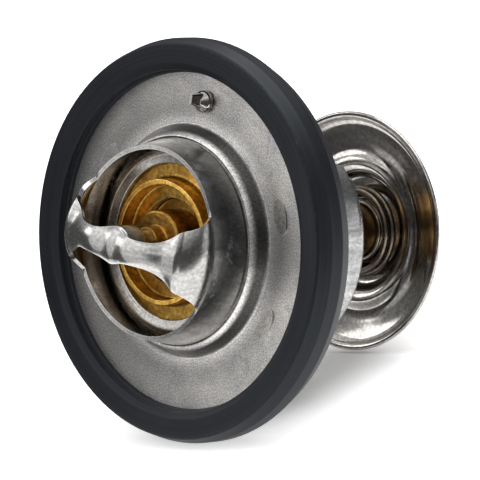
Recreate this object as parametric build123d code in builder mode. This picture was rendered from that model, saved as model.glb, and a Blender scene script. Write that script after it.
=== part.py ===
from build123d import *
from math import atan2, cos, degrees, radians, sin, sqrt
import os

# Wax-element engine thermostat with a front bridge and a rear bypass valve.
# Millimetres. Z is the thermostat's axis, +Z towards the bridge. Z = 0 is the front face of the
# flange plate. The bridge strap lies along X, and the vent pin is on +Y.

# Running and assembly clearances
slide_clearance = 0.07
press_clearance = 0.05
crimp_clearance = 0.3
rest_clearance = 0.05

# Rubber seal, moulded over the flange plate's edge
seal_radius = 34.35
seal_front_taper = 0.85
seal_rear_taper = 1.55
seal_front_height = 2.8
seal_rear_depth = 5.5
seal_land_top = 0.2
seal_land_bottom = -2.4
rubber_outside_plate = 3.35
rubber_over_plate = 2.5

# Flange plate: flat ring with a raised collar that is rolled over the bridge's foot
plate_radius = seal_radius - rubber_outside_plate
seal_inner_radius = plate_radius - rubber_over_plate
plate_thickness = 1.0
collar_foot_radius = 19.8
collar_shoulder_radius = 18.65
collar_shoulder_height = 2.0
collar_lip_radius = 17.75
collar_height = 3.0
collar_lip_thickness = 0.5

# Clinch marks of the rear frame's feet, and the vent hole
mark_circle_radius = 22.8
mark_angle = 24.0
mark_length = 6.2
mark_width = 3.0
mark_height = 0.3
vent_circle_radius = (collar_foot_radius + seal_inner_radius) / 2
vent_hole_radius = 1.35

# Valve seat: pressed ring with a rolled throat
seat_sheet = 0.8
seat_rim_radius = 20.9
seat_wall_radius = 16.05
seat_throat_radius = 13.2
seat_crest_radius = 14.9
seat_crest_height = 4.1
seat_throat_height = 3.75

# Bridge: drawn ring wall with a pinched strap across it
bridge_sheet = 0.7
bridge_bend_height = 3.3
bridge_foot_radius = 18.7
wall_taper = 0.19
sill_height = 8.5
sill_rise = 1.3
leg_base_height = 9.4
leg_half_width = 8.1
strap_top_height = 18.35
piston_socket_radius = 3.2
piston_socket_bottom = 12.0

# Main valve: brass cup with a sealing flange
valve_radius = 14.6
valve_flange_thickness = 1.0
cup_radius = 10.7
cup_inner_radius = 9.75
cup_rim_height = 6.1
cup_floor_height = 3.3
recess_radius = 7.35
recess_floor_height = 1.4
valve_web = 1.0
valve_hub_radius = 8.4

# Wax element: cover with a guide neck, cup, sleeve and wax
piston_radius = 2.1
neck_radius = 2.7
neck_top = 9.5
boss_radius = 5.5
boss_top = 7.1
boss_chamfer = 0.5
cover_flange_radius = 6.2
cover_flange_thickness = 2.3
element_radius = 7.0
element_wall = 0.75
element_lip_thickness = 0.95
element_bottom = -26.5
element_floor = 1.4
sleeve_wall = 1.3
sleeve_length = 17.0
piston_end_clearance = 0.4

# Rear frame: stirrup that carries the main spring and guides the element
frame_sheet = 1.0
frame_radius = 20.3
frame_bottom = -23.9
frame_half_width = 15.4
foot_to_rubber = 2.2
frame_foot_radius = seal_inner_radius - foot_to_rubber
frame_corner_radius = 2.4
frame_notch = 2.0
frame_notch_height = 2.1
guide_collar_length = 1.8
guide_collar_wall = 0.9

# Main spring
main_spring_radius = 11.6
main_spring_wire = 1.9
main_spring_open_turns = 3.2
main_spring_closed_turns = 0.9

# Bypass stem, spring, plate and clip, and how the springs are wound
stem_radius = 4.6
stem_tenon_radius = 3.0
stem_end = -47.6
spring_collar_radius = 8.6
spring_collar_thickness = 1.2
spring_collar_top = -30.2
bypass_sheet = 0.7
bypass_radius = 20.9
bypass_rim_height = -40.3
bypass_lip_width = 0.9
bypass_bowl_depth = 1.4
bypass_bowl_fall = 1.0
bypass_bowl_radius = 18.8
bypass_bead_radius = 12.4
bypass_bead_width = 1.6
bypass_bead_rise = 0.9
bypass_well_radius = 9.9
bypass_well_lip = 1.3
bypass_well_depth = 4.4
bypass_tube_radius = 5.4
bypass_tube_top = -42.3
bypass_spring_wire = 1.25
bypass_spring_radius = 7.7
bypass_spring_open_turns = 1.1
bypass_spring_closed_turns = 1.75
bypass_spring_end_turns = 0.75
bypass_spring_top_radius = 6.3
coil_gap = 0.06
coil_steps = 12
clip_radius = 6.4
clip_thickness = 0.7
clip_groove_radius = 3.9

# Vent pin, loose in the flange plate
pin_shank_radius = 0.95
pin_bulb_radius = 1.9
pin_bulb_height = 2.0
pin_blade_width = 1.5
pin_blade_thickness = 0.55
pin_tip_height = 3.75
pin_tip_lean = 0.45
pin_head_radius = 2.2
pin_head_thickness = 1.2
pin_travel = 1.1

os.makedirs("parts", exist_ok=True)


def spoke(angle):
    """Unit vector in the flange plane, at an angle from +X."""
    return Vector(cos(radians(angle)), sin(radians(angle)), 0)


def mark_plane(angle):
    """Plane of one clinch mark's top, which leans so that only its outer edge stands up."""
    outward = spoke(angle)
    return Plane(
        origin=outward * mark_circle_radius + Vector(0, 0, mark_height / 2),
        x_dir=outward * mark_width + Vector(0, 0, mark_height),
        z_dir=Vector(0, 0, mark_width) - outward * mark_height,
    )


# Flange plate
with BuildPart() as flange_plate:
    with BuildSketch(Plane.XZ):
        with BuildLine():
            FilletPolyline(
                (plate_radius, 0),
                (collar_foot_radius, 0),
                (collar_shoulder_radius, collar_shoulder_height),
                (collar_lip_radius, collar_height),
                (collar_lip_radius, collar_height - collar_lip_thickness),
                (collar_shoulder_radius - 0.4, 1.1),
                (collar_foot_radius - 0.75, -plate_thickness),
                (plate_radius, -plate_thickness),
                radius=[0, 0.5, 0.7, 0.15, 0, 0.3, 0, 0],
                close=True,
            )
        make_face()
    revolve(axis=Axis.Z)
    with BuildSketch(*[mark_plane(end + side * mark_angle) for end in (0, 180) for side in (-1, 1)]):
        Ellipse(mark_width / 2, mark_length / 2)
    extrude(amount=-plate_thickness / 2)
    with Locations((0, vent_circle_radius, 0)):
        Hole(vent_hole_radius)
flange_plate.part.label = "flange_plate"
export_step(flange_plate.part, "parts/flange_plate.step")


# Seal ring
with BuildPart() as seal_ring:
    with BuildSketch(Plane.XZ):
        with BuildLine():
            FilletPolyline(
                (seal_inner_radius, 0),
                (seal_inner_radius + 0.2, 0.6),
                (seal_inner_radius + 1.0, 1.0),
                (seal_inner_radius + 0.4, 1.6),
                (seal_inner_radius + 0.5, 2.2),
                (seal_inner_radius + 1.6, seal_front_height),
                (seal_radius - seal_front_taper, seal_front_height),
                (seal_radius, seal_land_top),
                (seal_radius, seal_land_bottom),
                (seal_radius - seal_rear_taper, -seal_rear_depth),
                (seal_inner_radius + 1.6, -seal_rear_depth),
                (seal_inner_radius + 0.4, -seal_rear_depth + 0.9),
                (seal_inner_radius, -plate_thickness),
                (plate_radius + press_clearance, -plate_thickness),
                (plate_radius + press_clearance, 0),
                radius=[0, 0.1, 0.25, 0.2, 0.3, 0.6, 0.5, 0.8, 0.8, 0.5, 0.6, 0.5, 0, 0, 0],
                close=True,
            )
        make_face()
    revolve(axis=Axis.Z)
seal_ring.part.label = "seal_ring"
export_step(seal_ring.part, "parts/seal_ring.step")


# Valve seat
with BuildPart() as valve_seat:
    with BuildSketch(Plane.XZ):
        with BuildLine():
            FilletPolyline(
                (seat_rim_radius, -plate_thickness),
                (seat_wall_radius, -plate_thickness),
                (seat_wall_radius, seat_crest_height - 0.5),
                (seat_crest_radius, seat_crest_height),
                (seat_throat_radius, seat_throat_height),
                (seat_throat_radius, seat_throat_height - seat_sheet),
                (seat_crest_radius, seat_crest_height - seat_sheet - 0.1),
                (seat_wall_radius - seat_sheet, seat_crest_height - seat_sheet - 0.5),
                (seat_wall_radius - seat_sheet, -plate_thickness - seat_sheet),
                (seat_rim_radius, -plate_thickness - seat_sheet),
                radius=[0, 0.4, 0.4, 0.7, 0.25, 0.1, 0.4, 0.2, 0, 0],
                close=True,
            )
        make_face()
    revolve(axis=Axis.Z)
valve_seat.part.label = "valve_seat"
export_step(valve_seat.part, "parts/valve_seat.step")


# Bridge: the wall inside the collar, with a foot that flares under the rolled lip
socket_bore_radius = piston_radius + press_clearance
socket_bore_top = strap_top_height - bridge_sheet - 0.6
socket_shoulder = strap_top_height - bridge_sheet - 1.3
wall_radius = collar_lip_radius - crimp_clearance
leg_radius = wall_radius - wall_taper * (leg_base_height - bridge_bend_height)


def strap_section(centre, direction, half_width, crown):
    """Bowed cross-section of the strap, square to the strap's run, as a closed sheet profile."""
    bow_radius = (half_width**2 + crown**2) / (2 * crown)
    half_angle = degrees(atan2(half_width, bow_radius - crown))
    section_plane = Plane(origin=(centre[0], 0, centre[1]), x_dir=(0, 1, 0), z_dir=direction)
    with BuildSketch(section_plane) as section:
        with BuildLine():
            outer = CenterArc((0, bow_radius), bow_radius, -90 - half_angle, 2 * half_angle)
            inner = CenterArc((0, bow_radius), bow_radius - bridge_sheet, -90 - half_angle, 2 * half_angle)
            Line(outer @ 0, inner @ 0)
            Line(outer @ 1, inner @ 1)
        make_face()
    return section.sketch


# Stations of the strap from the wall to the middle: share of the leg's radius, share of the rise
# above the leg's base, half width and crown. The third is the shoulder, where the strap is creased.
strap_rise = strap_top_height - leg_base_height
leg_crown = leg_radius - sqrt(leg_radius**2 - leg_half_width**2)
strap_shares = [
    (1, 0, leg_half_width, leg_crown),
    (0.979, 0.302, 6.6, 1.6),
    (0.858, 0.626, 5.34, 1.5),
    (0.716, 0.733, 3.87, 1.15),
    (0.623, 0.796, 2.88, 0.9),
    (0.532, 0.878, 2.37, 0.75),
    (0.42, 0.96, 2.19, 0.7),
    (0.313, 1.012, 2.2, 0.7),
    (0.19, 1.015, 2.41, 0.8),
    (0, 1, 3.23, 1.25),
]
strap_stations = [
    (leg_radius * out, leg_base_height + strap_rise * up, half_width, crown)
    for out, up, half_width, crown in strap_shares
]
strap_return = [(-x, z, half_width, crown) for x, z, half_width, crown in strap_stations[-2::-1]]
strap_run = strap_stations + strap_return
strap_sections = []
for index, (x, z, half_width, crown) in enumerate(strap_run):
    before = strap_run[max(index - 1, 0)]
    after = strap_run[min(index + 1, len(strap_run) - 1)]
    direction = Vector(after[0] - before[0], 0, after[1] - before[1])
    if index == 0:
        direction = Vector(0, 0, 1)
    if index == len(strap_run) - 1:
        direction = Vector(0, 0, -1)
    strap_sections.append(strap_section((x, z), direction, half_width, crown))

with BuildPart() as bridge:
    with BuildSketch(Plane.XZ):
        with BuildLine():
            FilletPolyline(
                (bridge_foot_radius, -plate_thickness),
                (wall_radius, bridge_bend_height),
                (leg_radius, leg_base_height),
                (leg_radius - bridge_sheet, leg_base_height),
                (wall_radius - bridge_sheet, bridge_bend_height),
                (bridge_foot_radius - bridge_sheet, -plate_thickness),
                radius=[0, 0.5, 0, 0, 0.2, 0],
                close=True,
            )
        make_face()
    revolve(axis=Axis.Z)
    with BuildSketch(Plane.XZ):
        with BuildLine():
            sill_end = sill_height + sill_rise * (wall_radius / leg_radius) ** 2
            sill = ThreePointArc((-wall_radius, sill_end), (0, sill_height), (wall_radius, sill_end))
            Polyline(sill @ 0, (-wall_radius, 2 * sill_end), (wall_radius, 2 * sill_end), sill @ 1)
        make_face()
    extrude(amount=wall_radius, both=True, mode=Mode.SUBTRACT)
    loft(strap_sections[:3])
    loft(strap_sections[2:-2])
    loft(strap_sections[-3:])
    with BuildSketch(Plane.XZ):
        with BuildLine():
            FilletPolyline(
                (0, piston_socket_bottom),
                (piston_socket_radius, piston_socket_bottom),
                (piston_socket_radius, socket_shoulder),
                (socket_bore_radius, strap_top_height - bridge_sheet),
                (0, strap_top_height - bridge_sheet),
                radius=[0, 0.6, 0.3, 0, 0],
                close=True,
            )
        make_face()
    revolve(axis=Axis.Z)
    with Locations((0, 0, piston_socket_bottom)):
        Cylinder(
            socket_bore_radius,
            socket_bore_top - piston_socket_bottom,
            align=(Align.CENTER, Align.CENTER, Align.MIN),
            mode=Mode.SUBTRACT,
        )
bridge.part.label = "bridge"
export_step(bridge.part, "parts/bridge.step")


# Main valve
valve_face_height = seat_throat_height - seat_sheet - rest_clearance
valve_hole_radius = boss_radius + press_clearance
valve_underside = valve_face_height - valve_flange_thickness
with BuildPart() as main_valve:
    with BuildSketch(Plane.XZ):
        with BuildLine():
            FilletPolyline(
                (valve_hole_radius, recess_floor_height),
                (recess_radius, recess_floor_height),
                (recess_radius, cup_floor_height),
                (cup_inner_radius, cup_floor_height),
                (cup_inner_radius, cup_rim_height),
                (cup_radius, cup_rim_height),
                (cup_radius, valve_face_height),
                (valve_radius, valve_face_height),
                (valve_radius, valve_underside),
                (valve_hub_radius, valve_underside),
                (valve_hub_radius, recess_floor_height - valve_web),
                (valve_hole_radius, recess_floor_height - valve_web),
                radius=[0, 0.3, 0.1, 0.4, 0.2, 0.25, 0.7, 0.3, 0.1, 0.3, 0.2, 0],
                close=True,
            )
        make_face()
    revolve(axis=Axis.Z)
main_valve.part.label = "main_valve"
export_step(main_valve.part, "parts/main_valve.step")


# Element cover, with the neck that guides the piston
element_top = recess_floor_height - valve_web
element_lip_bottom = element_top - element_lip_thickness
with BuildPart() as element_cover:
    with BuildSketch(Plane.XZ):
        with BuildLine():
            FilletPolyline(
                (0, neck_top),
                (neck_radius, neck_top),
                (neck_radius, boss_top),
                (boss_radius, boss_top),
                (boss_radius, element_lip_bottom),
                (cover_flange_radius, element_lip_bottom),
                (cover_flange_radius, element_lip_bottom - cover_flange_thickness),
                (0, element_lip_bottom - cover_flange_thickness),
                radius=[0, 0.25, 0.4, boss_chamfer, 0, 0.1, 0.1, 0],
                close=True,
            )
        make_face()
    revolve(axis=Axis.Z)
    Hole(piston_radius + slide_clearance)
element_cover.part.label = "element_cover"
export_step(element_cover.part, "parts/element_cover.step")


# Element cup
cup_bore_radius = element_radius - element_wall
with BuildPart() as element_cup:
    with BuildSketch(Plane.XZ):
        with BuildLine():
            FilletPolyline(
                (boss_radius + press_clearance, element_top),
                (element_radius, element_top),
                (element_radius, element_bottom),
                (stem_tenon_radius + press_clearance, element_bottom),
                (stem_tenon_radius + press_clearance, element_bottom + element_floor),
                (cup_bore_radius, element_bottom + element_floor),
                (cup_bore_radius, element_lip_bottom),
                (boss_radius + press_clearance, element_lip_bottom),
                radius=[0, 0.5, 0.8, 0, 0, 0.3, 0, 0],
                close=True,
            )
        make_face()
    revolve(axis=Axis.Z)
element_cup.part.label = "element_cup"
export_step(element_cup.part, "parts/element_cup.step")


# Rubber sleeve round the piston's end, inside the wax
sleeve_top = element_lip_bottom - cover_flange_thickness
sleeve_bottom = sleeve_top - sleeve_length
sleeve_bore_radius = piston_radius + slide_clearance
with BuildPart() as rubber_sleeve:
    with Locations((0, 0, sleeve_bottom)):
        Cylinder(
            sleeve_bore_radius + sleeve_wall,
            sleeve_length,
            align=(Align.CENTER, Align.CENTER, Align.MIN),
        )
    fillet(rubber_sleeve.edges().group_by(Axis.Z)[0], sleeve_wall / 2)
    with Locations((0, 0, sleeve_bottom + sleeve_wall)):
        Cylinder(
            sleeve_bore_radius,
            sleeve_length,
            align=(Align.CENTER, Align.CENTER, Align.MIN),
            mode=Mode.SUBTRACT,
        )
rubber_sleeve.part.label = "rubber_sleeve"
export_step(rubber_sleeve.part, "parts/rubber_sleeve.step")


# Wax charge, which fills the cup round the sleeve
wax_bottom = element_bottom + element_floor + 0.35
with BuildPart() as wax_charge:
    with Locations((0, 0, wax_bottom)):
        Cylinder(
            cup_bore_radius - press_clearance,
            sleeve_top - press_clearance - wax_bottom,
            align=(Align.CENTER, Align.CENTER, Align.MIN),
        )
    with Locations((0, 0, sleeve_bottom - press_clearance)):
        Cylinder(
            sleeve_bore_radius + sleeve_wall + press_clearance,
            sleeve_length + press_clearance,
            align=(Align.CENTER, Align.CENTER, Align.MIN),
            mode=Mode.SUBTRACT,
        )
wax_charge.part.label = "wax_charge"
export_step(wax_charge.part, "parts/wax_charge.step")


# Piston, held by the bridge's socket
piston_top = socket_bore_top - press_clearance
piston_bottom = sleeve_bottom + sleeve_wall + piston_end_clearance
with BuildPart() as piston:
    with Locations((0, 0, piston_bottom)):
        Cylinder(
            piston_radius,
            piston_top - piston_bottom,
            align=(Align.CENTER, Align.CENTER, Align.MIN),
        )
    chamfer(piston.edges().group_by(Axis.Z)[0], 0.4)
    fillet(piston.edges().group_by(Axis.Z)[-1], 0.5)
piston.part.label = "piston"
export_step(piston.part, "parts/piston.step")


# Rear frame: joggled feet under the flange plate, two legs, and a base with a drawn guide collar
seat_underside = -plate_thickness - seat_sheet
joggle_radius = seat_rim_radius + press_clearance
guide_radius = element_radius + slide_clearance
frame_inner_radius = frame_radius - frame_sheet
with BuildPart() as rear_frame:
    with BuildSketch(Plane.XZ):
        with BuildLine():
            FilletPolyline(
                (frame_foot_radius, -plate_thickness),
                (joggle_radius + 0.3, -plate_thickness),
                (joggle_radius, seat_underside),
                (frame_inner_radius, seat_underside),
                (frame_inner_radius, frame_bottom + frame_sheet),
                (guide_radius, frame_bottom + frame_sheet),
                (guide_radius, frame_bottom - guide_collar_length),
                (guide_radius + guide_collar_wall, frame_bottom - guide_collar_length),
                (guide_radius + guide_collar_wall, frame_bottom),
                (frame_radius, frame_bottom),
                (frame_radius, seat_underside - frame_sheet),
                (joggle_radius + 0.9, seat_underside - frame_sheet),
                (joggle_radius + 1.2, -plate_thickness - frame_sheet),
                (frame_foot_radius, -plate_thickness - frame_sheet),
                radius=[0, 0, 0, 0.3, frame_corner_radius - frame_sheet, 0.6, 0, 0.2,
                        0.4, frame_corner_radius, 0.3, 0.2, 0.3, 0.3],
                close=True,
            )
        make_face()
    revolve(axis=Axis.Z)
    with BuildSketch(Plane.XY.offset(frame_bottom - guide_collar_length)):
        Rectangle(2 * frame_foot_radius, 2 * frame_half_width)
    extrude(amount=-frame_bottom + guide_collar_length, mode=Mode.INTERSECT)
    leg_corner_x = sqrt(frame_radius**2 - frame_half_width**2)
    with BuildSketch(Plane.XY.offset(frame_bottom)):
        with GridLocations(2 * leg_corner_x, 2 * frame_half_width, 2, 2):
            Rectangle(2 * frame_corner_radius + frame_notch, 2 * frame_notch)
    extrude(amount=frame_notch_height, mode=Mode.SUBTRACT)
rear_frame.part.label = "rear_frame"
export_step(rear_frame.part, "parts/rear_frame.step")


def coil(bottom, top, bottom_radius, top_radius, open_turns, closed_turns, wire):
    """Round-wire spring between two heights, with closed turns at its ends (bottom, top)."""
    closed_pitch = wire + coil_gap
    below, above = closed_turns
    turns = below + open_turns + above
    open_pitch = (top - bottom - wire - closed_pitch * (below + above)) / open_turns
    run_points = []
    for step in range(round(coil_steps * turns) + 1):
        turn = step / coil_steps
        opened = min(max(turn - below, 0), open_turns)
        height = bottom + wire / 2 + closed_pitch * (turn - opened) + open_pitch * opened
        radius = bottom_radius + (top_radius - bottom_radius) * turn / turns
        run_points.append(spoke(360 * turn + 180) * radius + Vector(0, 0, height))
    with BuildPart() as spring:
        with BuildLine():
            run = Spline(*run_points)
        with BuildSketch(Plane(origin=run @ 0, z_dir=run % 0)):
            Circle(wire / 2)
        sweep(is_frenet=True)
    return spring.part


# Main spring, from the rear frame's base to the valve
main_spring_bottom = frame_bottom + frame_sheet + rest_clearance
main_spring_top = valve_underside - rest_clearance
main_spring = coil(
    main_spring_bottom, main_spring_top, main_spring_radius, main_spring_radius,
    main_spring_open_turns, (main_spring_closed_turns, main_spring_closed_turns), main_spring_wire,
)
main_spring.label = "main_spring"
export_step(main_spring, "parts/main_spring.step")


# Bypass stem
clip_top = bypass_rim_height - bypass_well_depth - bypass_sheet - rest_clearance
clip_bottom = clip_top - clip_thickness
with BuildPart() as bypass_stem:
    with BuildSketch(Plane.XZ):
        with BuildLine():
            FilletPolyline(
                (0, element_bottom + element_floor),
                (stem_tenon_radius, element_bottom + element_floor),
                (stem_tenon_radius, element_bottom),
                (stem_radius + 0.6, element_bottom),
                (stem_radius, element_bottom - 1.2),
                (stem_radius, clip_top),
                (clip_groove_radius, clip_top),
                (clip_groove_radius, clip_bottom - rest_clearance),
                (stem_radius, clip_bottom - rest_clearance),
                (stem_radius, stem_end),
                (0, stem_end),
                radius=[0, 0.2, 0, 0, 0.5, 0, 0, 0, 0, 0.7, 0],
                close=True,
            )
        make_face()
    revolve(axis=Axis.Z)
bypass_stem.part.label = "bypass_stem"
export_step(bypass_stem.part, "parts/bypass_stem.step")


# Spring collar, pressed on the stem
with BuildPart() as spring_collar:
    with BuildSketch(Plane.XY.offset(spring_collar_top)):
        Circle(spring_collar_radius)
        Circle(stem_radius + press_clearance, mode=Mode.SUBTRACT)
    extrude(amount=-spring_collar_thickness)
spring_collar.part.label = "spring_collar"
export_step(spring_collar.part, "parts/spring_collar.step")


# Bypass spring: wide closed turns on the plate, narrowing to the spring collar
bypass_floor = bypass_rim_height - bypass_well_depth
bypass_spring = coil(
    bypass_floor + rest_clearance, spring_collar_top - spring_collar_thickness - rest_clearance,
    bypass_spring_radius, bypass_spring_top_radius,
    bypass_spring_open_turns, (bypass_spring_closed_turns, bypass_spring_end_turns), bypass_spring_wire,
)
bypass_spring.label = "bypass_spring"
export_step(bypass_spring, "parts/bypass_spring.step")


# Bypass plate: pressed dish with a stiffening bead, a well for the spring and a guide tube
tube_bore_radius = stem_radius + slide_clearance
bowl_floor = bypass_rim_height - bypass_bowl_depth
bead_foot = bowl_floor - bypass_bowl_fall
bead_top = bead_foot + bypass_bead_rise
well_mouth = bowl_floor - bypass_well_lip
with BuildPart() as bypass_plate:
    with BuildSketch(Plane.XZ):
        with BuildLine():
            FilletPolyline(
                (bypass_radius, bypass_rim_height),
                (bypass_radius - bypass_lip_width, bypass_rim_height),
                (bypass_bowl_radius, bowl_floor),
                (bypass_bead_radius + bypass_bead_width, bead_foot),
                (bypass_bead_radius + 0.5, bead_top),
                (bypass_bead_radius - 0.9, bead_top),
                (bypass_well_radius + 0.3, well_mouth),
                (bypass_well_radius, bypass_floor),
                (bypass_tube_radius, bypass_floor),
                (bypass_tube_radius, bypass_tube_top),
                (tube_bore_radius, bypass_tube_top),
                (tube_bore_radius, bypass_floor - bypass_sheet),
                (bypass_well_radius + bypass_sheet, bypass_floor - bypass_sheet),
                (bypass_well_radius + bypass_sheet + 0.3, well_mouth - bypass_sheet),
                (bypass_bead_radius - 0.9, bead_top - bypass_sheet),
                (bypass_bead_radius + 0.5, bead_top - bypass_sheet),
                (bypass_bead_radius + bypass_bead_width, bead_foot - bypass_sheet),
                (bypass_bowl_radius + 0.3, bowl_floor - bypass_sheet),
                (bypass_radius - bypass_lip_width + 0.3, bypass_rim_height - bypass_sheet),
                (bypass_radius, bypass_rim_height - bypass_sheet),
                radius=[0.2, 0.6, 0.8, 0.6, 0.4, 0.4, 0.4, 0.6, 0.3, 0.15, 0.15,
                        0.3, 1.0, 0.3, 0.3, 0.3, 0.5, 0.9, 0.3, 0.2],
                close=True,
            )
        make_face()
    revolve(axis=Axis.Z)
bypass_plate.part.label = "bypass_plate"
export_step(bypass_plate.part, "parts/bypass_plate.step")


# Retaining clip in the stem's groove, which stops the bypass plate
with BuildPart() as retaining_clip:
    with BuildSketch(Plane.XY.offset(clip_top)):
        Circle(clip_radius)
        Circle(clip_groove_radius + press_clearance, mode=Mode.SUBTRACT)
        with Locations((-clip_radius, 0)):
            Rectangle(2 * clip_radius, clip_groove_radius * 1.2, mode=Mode.SUBTRACT)
    extrude(amount=-clip_thickness)
retaining_clip.part.label = "retaining_clip"
export_step(retaining_clip.part, "parts/retaining_clip.step")


# Vent pin: domed bulb that rests on the plate, pinched blade, slim shank and a peened rear head
pin_head_top = -plate_thickness - pin_travel - rest_clearance
blade_root_height = pin_bulb_height / 3
with BuildPart() as vent_pin:
    with BuildSketch(Plane.XZ.offset(-vent_circle_radius)):
        with BuildLine():
            FilletPolyline(
                (0, pin_bulb_height),
                (pin_bulb_radius / 3, pin_bulb_height),
                (pin_bulb_radius, pin_bulb_height / 2),
                (pin_bulb_radius, rest_clearance),
                (pin_shank_radius, rest_clearance),
                (pin_shank_radius, pin_head_top),
                (pin_head_radius, pin_head_top),
                (pin_head_radius, pin_head_top - pin_head_thickness),
                (0, pin_head_top - pin_head_thickness),
                radius=[0, 0.5, 0.6, 0.25, 0, 0, 0.2, 0.5, 0],
                close=True,
            )
        make_face()
    revolve(axis=Axis((0, vent_circle_radius, 0), (0, 0, 1)))
    with BuildSketch(Plane.XY.offset(blade_root_height)):
        with Locations((0, vent_circle_radius)):
            RectangleRounded(3 * pin_blade_thickness, 2 * pin_blade_width, pin_blade_thickness)
    with BuildSketch(Plane.XY.offset(pin_tip_height)):
        with Locations((0, vent_circle_radius + pin_tip_lean)):
            RectangleRounded(pin_blade_thickness, pin_blade_width, pin_blade_thickness / 3)
    loft()
vent_pin.part.label = "vent_pin"
export_step(vent_pin.part, "parts/vent_pin.step")
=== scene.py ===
from math import pi, tau

import bmesh
import bpy
from mathutils import Matrix, Vector


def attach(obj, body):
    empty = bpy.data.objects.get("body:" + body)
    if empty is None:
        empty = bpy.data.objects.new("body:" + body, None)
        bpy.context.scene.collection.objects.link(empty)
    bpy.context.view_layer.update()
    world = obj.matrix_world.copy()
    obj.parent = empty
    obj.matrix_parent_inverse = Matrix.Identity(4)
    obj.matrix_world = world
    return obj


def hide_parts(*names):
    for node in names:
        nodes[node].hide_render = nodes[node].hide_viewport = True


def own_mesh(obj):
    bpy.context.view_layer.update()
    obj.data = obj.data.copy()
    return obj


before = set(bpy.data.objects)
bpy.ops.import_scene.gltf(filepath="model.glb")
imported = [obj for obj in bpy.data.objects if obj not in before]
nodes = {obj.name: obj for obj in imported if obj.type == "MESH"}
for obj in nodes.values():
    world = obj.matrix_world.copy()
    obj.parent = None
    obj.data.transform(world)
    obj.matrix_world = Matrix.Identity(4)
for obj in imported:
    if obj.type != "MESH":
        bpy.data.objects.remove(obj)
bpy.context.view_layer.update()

MILLIMETRES = 1000.0  # in a metre


# ---------------------------------------------------------------------------
# Shader helpers
# ---------------------------------------------------------------------------

FLOAT, VECTOR = "NodeSocketFloat", "NodeSocketVector"


def feed(tree, slot, value):
    """Set a socket to a constant, or link it to another node's output."""
    if isinstance(value, bpy.types.NodeSocket):
        tree.links.new(value, slot)
    elif slot.type == "RGBA":
        slot.default_value = (*value, 1.0)
    else:
        slot.default_value = value


def math_node(tree, operation, *values):
    """Arithmetic on numbers."""
    node = tree.nodes.new("ShaderNodeMath")
    node.operation = operation
    for slot, value in zip(node.inputs, values):
        feed(tree, slot, value)
    return node.outputs[0]


def vector_node(tree, operation, *values):
    """Arithmetic on vectors: a number from a dot product or a distance, otherwise a vector."""
    node = tree.nodes.new("ShaderNodeVectorMath")
    node.operation = operation
    for slot, value in zip(node.inputs, values):
        feed(tree, slot, value)
    return node.outputs["Value" if operation in ("DOT_PRODUCT", "DISTANCE") else "Vector"]


def ramp_node(tree, value, stops):
    """Colours by a number, from (position, colour) stops in rising order."""
    node = tree.nodes.new("ShaderNodeValToRGB")
    tree.links.new(value, node.inputs[0])
    elements = node.color_ramp.elements
    elements[0].position, elements[-1].position = stops[0][0], stops[-1][0]
    elements[0].color, elements[-1].color = (*stops[0][1], 1.0), (*stops[-1][1], 1.0)
    for position, colour in stops[1:-1]:
        elements.new(position).color = (*colour, 1.0)
    return node.outputs[0]


def noise_node(tree, vector, scale, detail, roughness=0.5):
    """Soft noise round 0.5, with the scale in lumps per metre where the vector is in metres."""
    node = tree.nodes.new("ShaderNodeTexNoise")
    node.inputs["Detail"].default_value = detail
    node.inputs["Roughness"].default_value = roughness
    feed(tree, node.inputs["Scale"], scale)
    feed(tree, node.inputs["Vector"], vector)
    return node.outputs["Fac"]


def step_node(tree, value, low, high):
    """Smooth step from 0 at low to 1 at high."""
    node = tree.nodes.new("ShaderNodeMapRange")
    node.interpolation_type = "SMOOTHSTEP"
    tree.links.new(value, node.inputs["Value"])
    node.inputs["From Min"].default_value = low
    node.inputs["From Max"].default_value = high
    return node.outputs[0]


def blend_node(tree, factor, low, high):
    """Linear blend of two numbers, by a factor that varies over the surface."""
    node = tree.nodes.new("ShaderNodeMix")
    node.data_type = "FLOAT"
    for label, value in (("Factor", factor), ("A", low), ("B", high)):
        feed(tree, node.inputs[label], value)
    return node.outputs[0]


def tint_node(tree, factor, low, high, mode="MIX"):
    """Blend of two colours, by a factor that varies over the surface."""
    node = tree.nodes.new("ShaderNodeMix")
    node.data_type = "RGBA"
    node.blend_type = mode
    factor_slot, low_slot, high_slot = node.inputs[0], node.inputs[6], node.inputs[7]
    for slot, value in ((factor_slot, factor), (low_slot, low), (high_slot, high)):
        feed(tree, slot, value)
    return node.outputs[2]


def bump_node(tree, height, distance):
    """Normal from a height field, whose height of 1 stands for the distance in metres."""
    node = tree.nodes.new("ShaderNodeBump")
    node.inputs["Distance"].default_value = distance
    node.inputs["Strength"].default_value = 1.0
    tree.links.new(height, node.inputs["Height"])
    return node.outputs["Normal"]


def new_group(name, inputs, outputs):
    """Empty shader node group with named float and vector sockets."""
    group = bpy.data.node_groups.new(name, "ShaderNodeTree")
    for direction, sockets in (("INPUT", inputs), ("OUTPUT", outputs)):
        for label, kind in sockets.items():
            group.interface.new_socket(label, in_out=direction, socket_type=kind)
    return group, group.nodes.new("NodeGroupInput"), group.nodes.new("NodeGroupOutput")


def place_group(tree, group, **values):
    """Place a node group with its own values, and give its outputs."""
    node = tree.nodes.new("ShaderNodeGroup")
    node.node_tree = group
    for label, value in values.items():
        feed(tree, node.inputs[label.replace("_", " ")], value)
    return node.outputs


def new_material(name):
    """Material with its node tree, its shader and the object coordinates."""
    material = bpy.data.materials.new(name)
    material.use_nodes = True
    tree = material.node_tree
    coordinates = tree.nodes.new("ShaderNodeTexCoord")
    return material, tree, tree.nodes["Principled BSDF"], coordinates.outputs["Object"]


# ---------------------------------------------------------------------------
# Effects that the materials share
# ---------------------------------------------------------------------------

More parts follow.
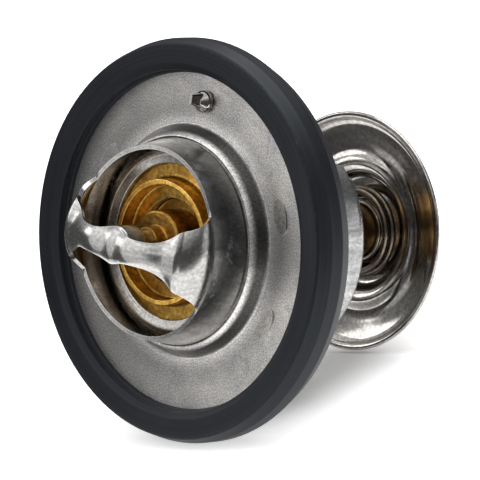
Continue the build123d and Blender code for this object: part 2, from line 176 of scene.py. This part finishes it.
def round_the_axis():
    """Coordinates about the thermostat's axis, in millimetres."""
    tree, source, sink = new_group("round_the_axis", {"Position": VECTOR},
                                   {"Radius": FLOAT, "Rings": VECTOR})
    split = tree.nodes.new("ShaderNodeSeparateXYZ")
    tree.links.new(source.outputs["Position"], split.inputs[0])
    x, y, height = (math_node(tree, "MULTIPLY", part, MILLIMETRES) for part in split.outputs)
    square = math_node(tree, "ADD", math_node(tree, "MULTIPLY", x, x),
                       math_node(tree, "MULTIPLY", y, y))
    radius = math_node(tree, "SQRT", square)
    # The turn goes round as a short arc, so that the rings close without a seam
    arc_height = 0.6
    arc = math_node(tree, "SINE", math_node(tree, "ARCTAN2", y, x))
    arc = math_node(tree, "MULTIPLY", arc, arc_height)
    join = tree.nodes.new("ShaderNodeCombineXYZ")
    for slot, value in zip(join.inputs, (radius, height, arc)):
        tree.links.new(value, slot)
    tree.links.new(radius, sink.inputs["Radius"])
    tree.links.new(join.outputs[0], sink.inputs["Rings"])
    return tree


def metal_skin():
    """Drift of tint, fine grain, streaks, edges for wear and painted highlight, stains and which
    side is inner.
    """
    tree, source, sink = new_group(
        "metal_skin",
        {"Position": VECTOR, "Streak Position": VECTOR, "Grain Size": FLOAT,
         "Streak Size": FLOAT, "Streak Share": FLOAT, "Wear Width": FLOAT},
        {"Drift": FLOAT, "Grain": FLOAT, "Streaks": FLOAT, "Edge": FLOAT, "Stain": FLOAT,
         "Tone": FLOAT, "Inner": FLOAT},
    )
    given = source.outputs
    position = given["Position"]
    drift_size, stain_size = 110.0, 210.0
    drift = noise_node(tree, position, drift_size, 6.0, 0.65)
    grain = noise_node(tree, position, given["Grain Size"], 2.0)
    streaks = noise_node(tree, given["Streak Position"], given["Streak Size"], 4.0, 0.65)
    # Edges, worn and given a painted highlight, are where a rounded-over normal departs from the
    # true one
    bevel = tree.nodes.new("ShaderNodeBevel")
    bevel.samples = 4
    tree.links.new(given["Wear Width"], bevel.inputs["Radius"])
    normal = tree.nodes.new("ShaderNodeNewGeometry").outputs["Normal"]
    agreement = vector_node(tree, "DOT_PRODUCT", bevel.outputs[0], normal)
    edge = step_node(tree, math_node(tree, "SUBTRACT", 1.0, agreement), 0.01, 0.14)
    # The inner side of a wall faces the axis
    outward = vector_node(tree, "MULTIPLY", position, (1, 1, 0))
    outward = vector_node(tree, "NORMALIZE", outward)
    facing_out = vector_node(tree, "DOT_PRODUCT", outward, normal)
    inner = step_node(tree, math_node(tree, "MULTIPLY", facing_out, -1.0), 0.3, 0.8)
    stain = step_node(tree, noise_node(tree, position, stain_size, 6.0, 0.7), 0.54, 0.70)
    tone = blend_node(tree, given["Streak Share"], drift, streaks)
    results = {"Drift": drift, "Grain": grain, "Streaks": streaks, "Edge": edge,
               "Stain": stain, "Tone": tone, "Inner": inner}
    for label, value in results.items():
        tree.links.new(value, sink.inputs[label])
    return tree


ROUND = round_the_axis()
SKIN = metal_skin()
ROUND_ABOUT = None  # streaks that run in rings


def streak_position(tree, position, stretch):
    """Where streaks are looked up: rings round the axis, or lines along stretched directions."""
    if stretch is ROUND_ABOUT:
        return place_group(tree, ROUND, Position=position)["Rings"]
    mapping = tree.nodes.new("ShaderNodeMapping")
    mapping.inputs["Scale"].default_value = [MILLIMETRES * share for share in stretch]
    tree.links.new(position, mapping.inputs["Vector"])
    return mapping.outputs[0]


def dress(material, *names):
    """Give a material to the named pieces."""
    for name in names:
        slots = nodes[name].data.materials
        slots.clear()
        slots.append(material)


# ---------------------------------------------------------------------------
# Metals
# ---------------------------------------------------------------------------

EDGE_WIDTH = 0.0002
RELIEF = 0.00001  # metres of relief for a height of 1
DIRT_SHADE = 0.45  # of the dark tint
STAIN_DULLNESS = 0.12  # added roughness
# Edge tints stand for wear and for a painted highlight along rims and cut edges
STEEL_EDGE = (0.85, 0.84, 0.82)
BRASS_EDGE = (0.95, 0.68, 0.25)


def metal(name, dark, light, edge_tint, rough, *, grain_size, grain_depth, grain_contrast=0.18,
          streak_size=4.0, streak_share, streak_depth=0.0, stretch=ROUND_ABOUT,
          stain_share=0.25, inner_reflection_tint=None, painted_light_bands=None):
    """Sheet, wire or turned metal, from two tints and the ends of its range of roughness."""
    material, tree, shader, position = new_material(name)
    skin = place_group(tree, SKIN, Position=position,
                       Streak_Position=streak_position(tree, position, stretch),
                       Grain_Size=grain_size, Streak_Size=streak_size,
                       Streak_Share=streak_share, Wear_Width=EDGE_WIDTH)
    colour = ramp_node(tree, skin["Tone"], [(0.36, dark), (0.64, light)])
    speck = step_node(tree, skin["Grain"], 0.3, 0.7)
    speck = blend_node(tree, speck, 1.0 - grain_contrast, 1.0 + grain_contrast)
    colour = tint_node(tree, 1.0, colour, speck, "MULTIPLY")
    dirt = tuple(DIRT_SHADE * channel for channel in dark)
    colour = tint_node(tree, math_node(tree, "MULTIPLY", skin["Stain"], stain_share), colour, dirt)
    # Walls that face the axis take a painted reflection of the brass valve, as a brown tint
    if inner_reflection_tint:
        colour = tint_node(tree, skin["Inner"], colour, inner_reflection_tint, "MULTIPLY")
    if painted_light_bands:
        # Painted highlights on rims and painted shade in grooves, given as bands of radius
        radius = place_group(tree, ROUND, Position=position)["Radius"]
        reach = painted_light_bands[-1][0]
        stops = [(edge / reach, (tone, tone, tone)) for edge, tone in painted_light_bands]
        painted_band = ramp_node(tree, math_node(tree, "DIVIDE", radius, reach), stops)
        colour = tint_node(tree, 1.0, colour, painted_band, "MULTIPLY")
    # Edges take the edge tint, partly wear and partly a painted highlight
    colour = tint_node(tree, skin["Edge"], colour, edge_tint)
    tree.links.new(colour, shader.inputs["Base Color"])
    shader.inputs["Metallic"].default_value = 1.0
    finish = blend_node(tree, step_node(tree, skin["Tone"], 0.3, 0.7), rough[1], rough[0])
    dulled = math_node(tree, "MULTIPLY", skin["Stain"], STAIN_DULLNESS)
    tree.links.new(math_node(tree, "ADD", finish, dulled), shader.inputs["Roughness"])
    height = math_node(tree, "MULTIPLY", skin["Grain"], grain_depth / RELIEF)
    if streak_depth:
        scored = math_node(tree, "MULTIPLY", skin["Streaks"], streak_depth / RELIEF)
        height = math_node(tree, "ADD", height, scored)
    tree.links.new(bump_node(tree, height, RELIEF), shader.inputs["Normal"])
    return material


# Painted shade darkens the collar's steep side, between the flat plate and the rolled rim, and
# painted light and shade brighten the rim and run on over the plate. Bands are (radius in
# millimetres, tone).
flange_painted_light_bands = (
    (17.7, 1.7), (18.2, 1.7), (18.5, 0.8), (18.8, 0.22), (19.5, 0.28), (19.85, 0.9),
    (20.3, 1.7), (21.2, 1.25), (22.3, 0.92), (23.4, 0.95), (25.0, 1.06),
)
flange_steel = metal(
    "flange_steel", (0.33, 0.325, 0.325), (0.54, 0.52, 0.495), (0.72, 0.71, 0.69), (0.30, 0.42),
    grain_size=3600.0, grain_depth=0.00003, grain_contrast=0.32,
    streak_size=1.2, streak_share=0.1, stain_share=0.4, painted_light_bands=flange_painted_light_bands,
)
drawn_steel = metal(
    "drawn_steel", (0.34, 0.335, 0.33), (0.54, 0.53, 0.51), STEEL_EDGE, (0.16, 0.27),
    grain_size=1900.0, grain_depth=0.000006, grain_contrast=0.15,
    streak_size=0.9, streak_share=0.7, stretch=(0.12, 0.9, 0.5), stain_share=0.15,
    inner_reflection_tint=(0.88, 0.78, 0.66),
)
frame_steel = metal(
    "frame_steel", (0.25, 0.25, 0.26), (0.60, 0.59, 0.58), STEEL_EDGE, (0.20, 0.34),
    grain_size=1900.0, grain_depth=0.000008, grain_contrast=0.20,
    streak_size=0.9, streak_share=0.5, stretch=(0.9, 0.9, 0.12),
)
rolled_steel = metal(
    "rolled_steel", (0.34, 0.32, 0.30), (0.66, 0.64, 0.61), STEEL_EDGE, (0.16, 0.28),
    grain_size=2200.0, grain_depth=0.000004, streak_size=2.0, streak_share=0.5,
)
polished_steel = metal(
    "polished_steel", (0.34, 0.32, 0.30), (0.58, 0.56, 0.53), (0.72, 0.69, 0.64), (0.09, 0.17),
    grain_size=1700.0, grain_depth=0.000002, streak_size=2.0, streak_share=0.4, stain_share=0.2,
)
turned_steel = metal(
    "turned_steel", (0.25, 0.24, 0.23), (0.74, 0.73, 0.72), STEEL_EDGE, (0.10, 0.20),
    grain_size=1500.0, grain_depth=0.000002,
    streak_size=9.0, streak_share=0.85, streak_depth=0.00001,
)
spring_wire = metal(
    "spring_wire", (0.08, 0.066, 0.052), (0.24, 0.20, 0.16), (0.34, 0.29, 0.24), (0.24, 0.36),
    grain_size=1400.0, grain_depth=0.000004, streak_share=0.1,
)
# The cup's rim gets a painted highlight, and its inside painted shade
valve_painted_light_bands = ((7.0, 0.65), (9.5, 0.75), (9.75, 1.5), (10.7, 1.5), (10.9, 0.8), (16.0, 0.9))
valve_brass = metal(
    "valve_brass", (0.24, 0.11, 0.018), (0.66, 0.40, 0.09), BRASS_EDGE, (0.24, 0.38),
    grain_size=1300.0, grain_depth=0.00005, grain_contrast=0.25,
    streak_size=2.0, streak_share=0.2, stain_share=0.5, painted_light_bands=valve_painted_light_bands,
)
cast_brass = metal(
    "cast_brass", (0.14, 0.058, 0.010), (0.50, 0.28, 0.06), BRASS_EDGE, (0.28, 0.44),
    grain_size=1100.0, grain_depth=0.00008, grain_contrast=0.35,
    streak_size=2.0, streak_share=0.2, stain_share=0.6,
)
dull_brass = metal(
    "dull_brass", (0.10, 0.055, 0.02), (0.32, 0.20, 0.08), (0.5, 0.36, 0.16), (0.28, 0.42),
    grain_size=1500.0, grain_depth=0.00003, streak_size=3.0, streak_share=0.4, stain_share=0.5,
)

dress(flange_steel, "flange_plate")
dress(drawn_steel, "bridge")
dress(frame_steel, "rear_frame")
dress(rolled_steel, "valve_seat")
dress(polished_steel, "bypass_plate", "vent_pin", "retaining_clip")
dress(turned_steel, "piston")
dress(spring_wire, "main_spring", "bypass_spring")
dress(valve_brass, "main_valve")
dress(cast_brass, "element_cover")
dress(dull_brass, "element_cup", "bypass_stem", "spring_collar")


# ---------------------------------------------------------------------------
# Rubber and wax
# ---------------------------------------------------------------------------

def moulded_rubber(name, dark, light, rough):
    """Black rubber: faint rings from the mould, fine bloom, duller in patches where it is handled,
    and edges lightened by wear and a painted highlight.
    """
    material, tree, shader, position = new_material(name)
    skin = place_group(tree, SKIN, Position=position,
                       Streak_Position=streak_position(tree, position, ROUND_ABOUT),
                       Grain_Size=2400.0, Streak_Size=1.6, Streak_Share=0.7, Wear_Width=0.0005)
    colour = ramp_node(tree, skin["Tone"], [(0.38, dark), (0.64, light)])
    # Edges turn lighter, partly as wear and partly as a painted highlight
    worn_and_lit_share, worn_and_lit_tint = 0.8, (0.05, 0.052, 0.058)
    worn_and_lit = math_node(tree, "MULTIPLY", skin["Edge"], worn_and_lit_share)
    tree.links.new(tint_node(tree, worn_and_lit, colour, worn_and_lit_tint), shader.inputs["Base Color"])
    tree.links.new(blend_node(tree, skin["Drift"], *rough), shader.inputs["Roughness"])
    shader.inputs["Specular IOR Level"].default_value = 0.28
    shader.inputs["Specular Tint"].default_value = (0.82, 0.90, 1.0, 1)
    ring_share, relief = 1.5, 0.000012
    height = math_node(tree, "MULTIPLY", skin["Streaks"], ring_share)
    height = math_node(tree, "ADD", skin["Grain"], height)
    tree.links.new(bump_node(tree, height, relief), shader.inputs["Normal"])
    return material


def cloudy_wax(name, dark, light, rough):
    """Pale wax with soft clouds."""
    material, tree, shader, position = new_material(name)
    cloud = noise_node(tree, position, 260.0, 4.0)
    colour = ramp_node(tree, cloud, [(0.3, dark), (0.7, light)])
    tree.links.new(colour, shader.inputs["Base Color"])
    tree.links.new(blend_node(tree, cloud, *rough), shader.inputs["Roughness"])
    tree.links.new(bump_node(tree, cloud, 0.00004), shader.inputs["Normal"])
    return material


seal_rubber = moulded_rubber("seal_rubber", (0.0035, 0.004, 0.0055), (0.012, 0.0134, 0.017),
                             (0.40, 0.58))
wax = cloudy_wax("wax", (0.62, 0.56, 0.40), (0.78, 0.73, 0.56), (0.35, 0.55))
dress(seal_rubber, "seal_ring", "rubber_sleeve")
dress(wax, "wax_charge")


# ---------------------------------------------------------------------------
# Bypass plate, drawn from sheet with soft bends
# ---------------------------------------------------------------------------

def smooth_run(points, parts):
    """Points along a smooth curve through the given (radius, height) points."""
    ends = [points[0], *points, points[-1]]
    run = []
    for a, b, c, d in zip(ends, ends[1:], ends[2:], ends[3:]):
        for part in range(parts):
            t = part / parts
            run.append(tuple(
                0.5 * (2 * q + (r - p) * t + (2 * p - 5 * q + 4 * r - s) * t * t
                       + (3 * q - p - 3 * r + s) * t ** 3)
                for p, q, r, s in zip(a, b, c, d)
            ))
    return [*run, points[-1]]


def turned(name, outline, steps=144, merge_distance=1e-7):
    """Solid of revolution from a closed outline of (radius, height) points in millimetres."""
    build = bmesh.new()
    corners = [build.verts.new((radius / 1000, 0, height / 1000)) for radius, height in outline]
    edges = [build.edges.new(pair) for pair in zip(corners, [*corners[1:], corners[0]])]
    bmesh.ops.spin(build, geom=corners + edges, axis=(0, 0, 1), cent=(0, 0, 0), angle=tau,
                   steps=steps, use_merge=True)
    bmesh.ops.remove_doubles(build, verts=build.verts, dist=merge_distance)
    bmesh.ops.recalc_face_normals(build, faces=build.faces)
    mesh = bpy.data.meshes.new(name)
    build.to_mesh(mesh)
    build.free()
    mesh.polygons.foreach_set("use_smooth", [True] * len(mesh.polygons))
    piece = bpy.data.objects.new(name, mesh)
    bpy.context.scene.collection.objects.link(piece)
    return piece


# Each side runs over the lip, the bowl, the bead and the spring's well to the guide tube
dish_front = [
    (20.9, -40.5), (20.7, -40.31), (20.3, -40.31), (19.95, -40.5), (19.6, -40.95),
    (19.2, -41.35), (18.6, -41.65), (17.6, -41.95), (16.4, -42.2), (15.2, -42.42),
    (14.2, -42.45), (13.4, -42.25), (12.8, -41.98), (12.2, -41.86), (11.6, -41.93),
    (11.0, -42.2), (10.55, -42.6), (10.25, -43.1), (10.05, -43.7), (9.7, -44.3),
    (9.2, -44.6), (8.5, -44.7), (7.0, -44.7), (6.1, -44.69), (5.6, -44.5), (5.41, -44.1),
    (5.4, -43.4), (5.4, -42.75), (5.3, -42.4), (5.05, -42.31), (4.8, -42.4), (4.7, -42.6),
]
# The rear side runs back from the tube to the lip
dish_rear = [
    (4.69, -42.8), (4.69, -43.8), (4.8, -44.5), (5.2, -45.08), (5.9, -45.37), (7.0, -45.4),
    (8.8, -45.38), (9.6, -45.2), (10.2, -44.78), (10.6, -44.17), (10.86, -43.45),
    (11.15, -42.98), (11.6, -42.67), (12.1, -42.56), (12.7, -42.7), (13.35, -42.98),
    (14.15, -43.15), (15.25, -43.11), (16.5, -42.9), (17.75, -42.63), (18.85, -42.3),
    (19.6, -41.92), (20.15, -41.35), (20.45, -41.05), (20.75, -41.0), (20.9, -40.85),
]
bend_parts = 4
dish = turned("bypass_dish", smooth_run(dish_front, bend_parts) + smooth_run(dish_rear, bend_parts))
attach(dish, "bypass")
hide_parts("bypass_plate")
dish.data.materials.append(polished_steel)


# ---------------------------------------------------------------------------
# Springs, as copies with meshes of their own, carried by the housing and the valve
# ---------------------------------------------------------------------------

def shortening_spring(node, body):
    """Copy of a spring's coil with a mesh of its own, carried by the given body in place of the
    original.
    """
    coil = bpy.data.objects.new(node + "_coil", nodes[node].data.copy())
    bpy.context.scene.collection.objects.link(coil)
    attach(coil, body)
    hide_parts(node)
    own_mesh(coil)


shortening_spring("main_spring", "housing")
shortening_spring("bypass_spring", "valve")


# ---------------------------------------------------------------------------
# Table top
# ---------------------------------------------------------------------------

# The directions to the right, up and towards the viewer, in the part's frame
view_right = Vector((0.697772, 0.143025, -0.701896))
view_up = Vector((-0.241701, 0.969409, -0.042745))
view_back = Vector((0.674310, 0.199475, 0.710996))

# The thermostat lies on the edge of its seal and of its bypass plate
across = Vector((0.2470, -0.9690, 0.0))
seal_radius, seal_height = 0.03435, -0.0024
floor_normal = (across * -0.9477 + Vector((0, 0, 0.3192))).normalized()
floor_point = across * seal_radius + Vector((0, 0, seal_height))
floor_back = (view_back - floor_normal * view_back.dot(floor_normal)).normalized()
floor_right = floor_back.cross(floor_normal) * -1.0


def table_top(left, right, front, back):
    """Flat sheet under the thermostat, cut to what the main view shows and a little more."""
    place = Matrix((floor_right, -floor_back, floor_normal)).transposed().to_4x4()
    place.translation = floor_point
    outline = ((left, front), (right, front), (right, back), (left, back))
    mesh = bpy.data.meshes.new("floor")
    mesh.from_pydata([place @ Vector((x, y, 0)) for x, y in outline], [], [(0, 1, 2, 3)])
    floor = bpy.data.objects.new("floor", mesh)
    bpy.context.scene.collection.objects.link(floor)
    return floor


def white_paint(name, shadow_centre, shadow_reach, shadow_glow, white_glow):
    """White paint that reads as pure white outside the shadow and is clear from below."""
    material, tree, paint, position = new_material(name)
    paint.inputs["Base Color"].default_value = (0.92, 0.92, 0.92, 1)
    paint.inputs["Roughness"].default_value = 0.9
    paint.inputs["Specular IOR Level"].default_value = 0.0
    paint.inputs["Emission Color"].default_value = (1, 1, 1, 1)
    # The glow is only for rays that see the paint directly or in a reflection
    path = tree.nodes.new("ShaderNodeLightPath").outputs
    seen = math_node(tree, "ADD", path["Is Camera Ray"], path["Is Glossy Ray"])
    seen = math_node(tree, "ADD", seen, path["Is Transmission Ray"])
    # The glow is weakest round a point under the body, so the cast shadow shows there and is
    # painted out further off
    away = vector_node(tree, "DISTANCE", position, shadow_centre)
    open_floor = step_node(tree, away, *shadow_reach)
    glow = math_node(tree, "MULTIPLY_ADD", open_floor, white_glow - shadow_glow, shadow_glow)
    tree.links.new(math_node(tree, "MULTIPLY", seen, glow), paint.inputs["Emission Strength"])
    clear = tree.nodes.new("ShaderNodeBsdfTransparent")
    geometry = tree.nodes.new("ShaderNodeNewGeometry")
    choose = tree.nodes.new("ShaderNodeMixShader")
    tree.links.new(geometry.outputs["Backfacing"], choose.inputs[0])
    tree.links.new(paint.outputs[0], choose.inputs[1])
    tree.links.new(clear.outputs[0], choose.inputs[2])
    tree.links.new(choose.outputs[0], tree.nodes["Material Output"].inputs["Surface"])
    return material


floor = table_top(-0.07, 0.12, -0.10, 0.55)
floor_white = white_paint("floor_white", floor_point + floor_right * 0.014 - floor_back * 0.030,
                          (0.014, 0.038), 0.03, 0.63)
floor.data.materials.append(floor_white)


# ---------------------------------------------------------------------------
# Room, lamps and camera
# ---------------------------------------------------------------------------

# The studio's room: dim at the sides, brighter above
side_level, above_level = 0.10, 0.80
world = bpy.data.worlds.new("studio")
bpy.context.scene.world = world
world.use_nodes = True
tree = world.node_tree
direction = tree.nodes.new("ShaderNodeTexCoord").outputs["Generated"]
above = step_node(tree, vector_node(tree, "DOT_PRODUCT", direction, floor_normal), 0.2, 0.8)
level = math_node(tree, "MULTIPLY_ADD", above, above_level - side_level, side_level)
tree.links.new(level, tree.nodes["Background"].inputs["Strength"])
tree.nodes["Background"].inputs["Color"].default_value = (1, 1, 1, 1)


def in_view(right, up, back):
    """Point that lies so far right of, above and in front of the origin."""
    return view_right * right + view_up * up + view_back * back


def softbox(name, size, radiance, place, target=(0.0, 0.0, 0.0)):
    """Area lamp of even brightness, which the camera itself doesn't see."""
    data = bpy.data.lights.new(name, "AREA")
    data.shape = "RECTANGLE"
    data.size, data.size_y = size
    data.energy = radiance * pi * size[0] * size[1]
    lamp = bpy.data.objects.new(name, data)
    bpy.context.scene.collection.objects.link(lamp)
    aim = in_view(*target) - in_view(*place)
    matrix = aim.to_track_quat("-Z", "Y").to_matrix().to_4x4()
    matrix.translation = in_view(*place)
    lamp.matrix_world = matrix
    lamp.visible_camera = False


softbox("side_card", (0.16, 0.09), 0.85, (-0.075, 0.0, 0.047), (0.0, 0.0, 0.047))
softbox("top_box", (0.50, 0.50), 2.5, (0.08, 0.50, 0.0))
softbox("left_box", (0.12, 0.12), 2.4, (-0.30, 0.12, -0.07))
softbox("rim_strip", (0.20, 0.40), 0.75, (0.40, 0.06, 0.12))
softbox("front_box", (0.10, 0.10), 0.9, (-0.34, 0.06, 0.46))
softbox("spark", (0.05, 0.05), 5.0, (-0.12, 0.28, 0.45))

camera_data = bpy.data.cameras.new("camera")
camera_data.sensor_width = 36.0
camera_data.lens = 375.0
camera_data.clip_end = 20.0
camera = bpy.data.objects.new("camera", camera_data)
bpy.context.scene.collection.objects.link(camera)
camera_rise = 0.000135
camera_place = Matrix((view_right, view_up, view_back)).transposed().to_4x4()
camera_place.translation = Vector((0.576695, 0.169983, 0.594872)) + view_up * camera_rise
camera.matrix_world = camera_place
bpy.context.scene.camera = camera

bpy.context.scene.view_settings.view_transform = "Standard"
